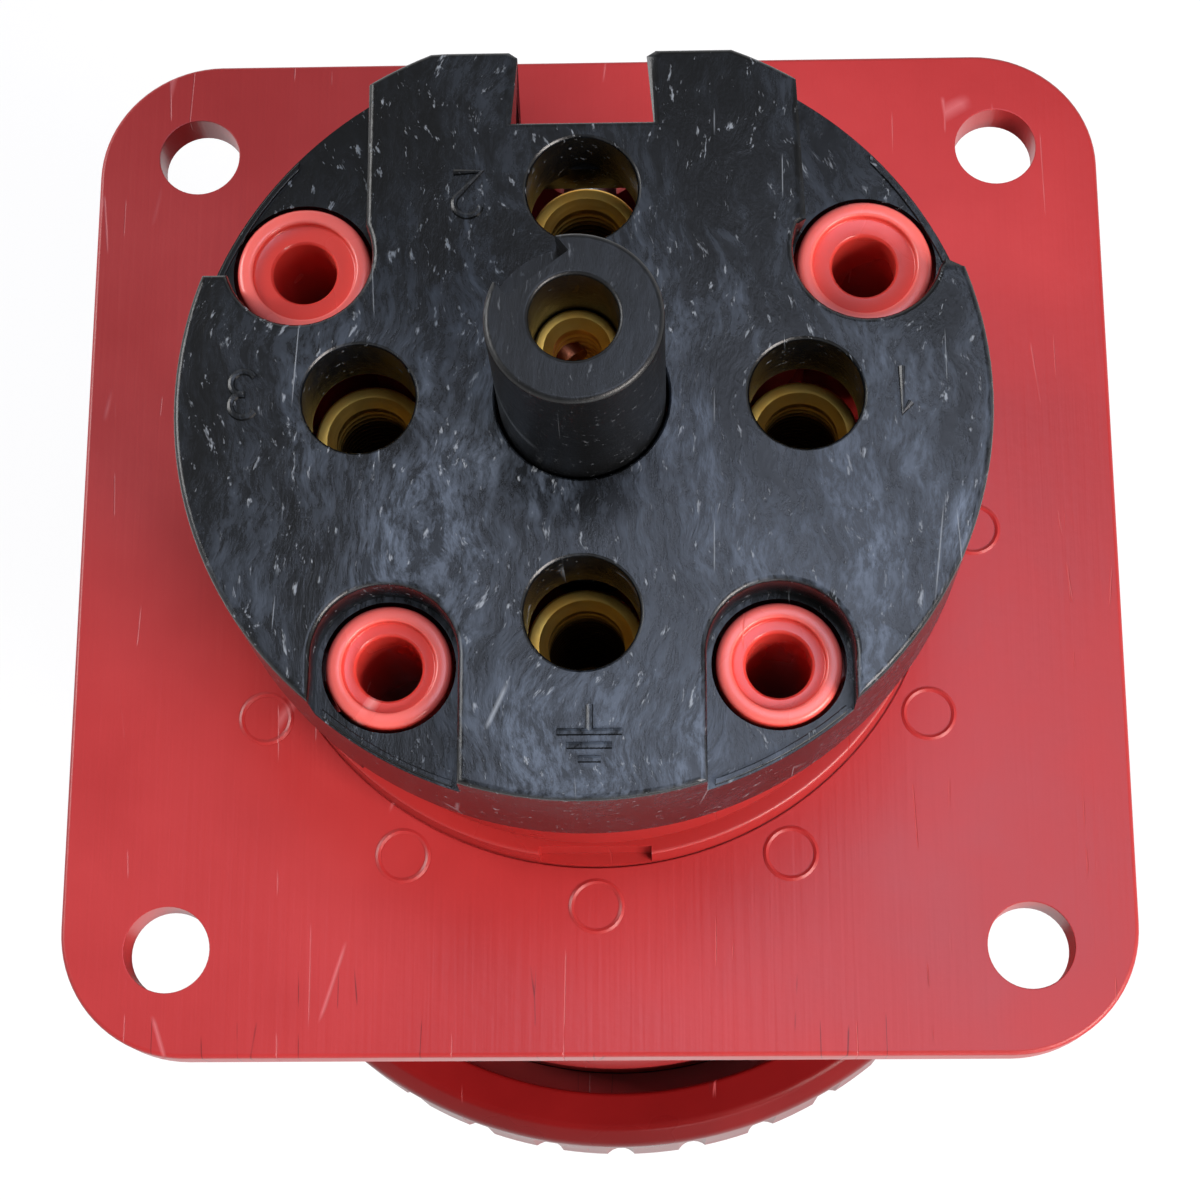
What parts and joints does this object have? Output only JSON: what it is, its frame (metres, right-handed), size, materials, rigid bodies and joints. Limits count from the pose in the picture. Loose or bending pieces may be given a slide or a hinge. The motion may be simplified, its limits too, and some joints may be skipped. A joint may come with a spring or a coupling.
{
  "type": "five-contact panel socket",
  "caption": "Square-flanged red panel socket with a black terminal cover, brass contacts, a shrouded plug side and a sprung lid with a bayonet locking ring.",
  "frame": {"origin": "middle of the flange's panel face, on the socket's axis", "axes": "+Z to the wiring side, away from the plug; +Y towards the lid's hinge; +X to the right seen from the wiring side"},
  "size_m": [0.1056, 0.1188, 0.1666],
  "materials": {
    "red_plastic": "satin",
    "carrier_plastic": "gloss",
    "ring_plastic": "gloss",
    "black_plastic": "scuffed gloss",
    "contact_brass": "turned",
    "copper_screw": "bare",
    "plated_steel": "zinc plated",
    "spring_steel": "satin",
    "seal_rubber": "matt"
  },
  "bodies": {
    "socket": {"flange_housing": "red_plastic", "shroud": "red_plastic", "bayonet_lugs": "plated_steel", "hinge_bracket": "red_plastic", "contact_carrier": "carrier_plastic", "terminal_cover": "black_plastic", "pilot_tube": "black_plastic", "socket_face": "black_plastic", "line_contact_1": "contact_brass", "line_contact_2": "contact_brass", "line_contact_3": "contact_brass", "earth_contact": "contact_brass", "pilot_contact": "contact_brass", "contact_springs": "spring_steel", "assembly_screws": "plated_steel", "carrier_seal": "seal_rubber", "hinge_pin": "plated_steel", "pin_clips": "spring_steel", "lid_spring": "spring_steel"},
    "lid": {"lid": "red_plastic", "lid_gasket": "seal_rubber", "ring_retainer": "spring_steel"},
    "locking_ring": {"locking_ring": "ring_plastic", "ring_ledges": "plated_steel"},
    "terminal_screw_1": {"terminal_screw_1": "plated_steel"},
    "terminal_screw_2": {"terminal_screw_2": "plated_steel"},
    "terminal_screw_3": {"terminal_screw_3": "plated_steel"},
    "earth_screw": {"earth_screw": "plated_steel"},
    "pilot_screw": {"pilot_screw": "copper_screw"}
  },
  "joints": [
    {"name": "lid_hinge", "type": "hinge", "parent": "socket", "child": "lid", "pos_m": [0, 0.06, -0.08], "axis": [1, 0, 0], "range_deg": [0, 110], "stiffness_Nm_per_rad": 0.12, "springref_deg": -34.38},
    {"name": "locking_turn", "type": "hinge", "parent": "lid", "child": "locking_ring", "pos_m": [0, 0, -0.095], "axis": [0, 0, -1], "range_deg": [0, 20]},
    {"name": "screw_1_travel", "type": "slide", "parent": "socket", "child": "terminal_screw_1", "axis": [-1, 0, 0], "range_m": [0, 0.0035]},
    {"name": "screw_2_travel", "type": "slide", "parent": "socket", "child": "terminal_screw_2", "axis": [0, -1, 0], "range_m": [0, 0.0035]},
    {"name": "screw_3_travel", "type": "slide", "parent": "socket", "child": "terminal_screw_3", "axis": [1, 0, 0], "range_m": [0, 0.0035]},
    {"name": "earth_screw_travel", "type": "slide", "parent": "socket", "child": "earth_screw", "axis": [0, 1, 0], "range_m": [0, 0.0035]},
    {"name": "pilot_screw_travel", "type": "slide", "parent": "socket", "child": "pilot_screw", "axis": [0.6157, -0.788, 0], "range_m": [0, 0.0012]}
  ]
}
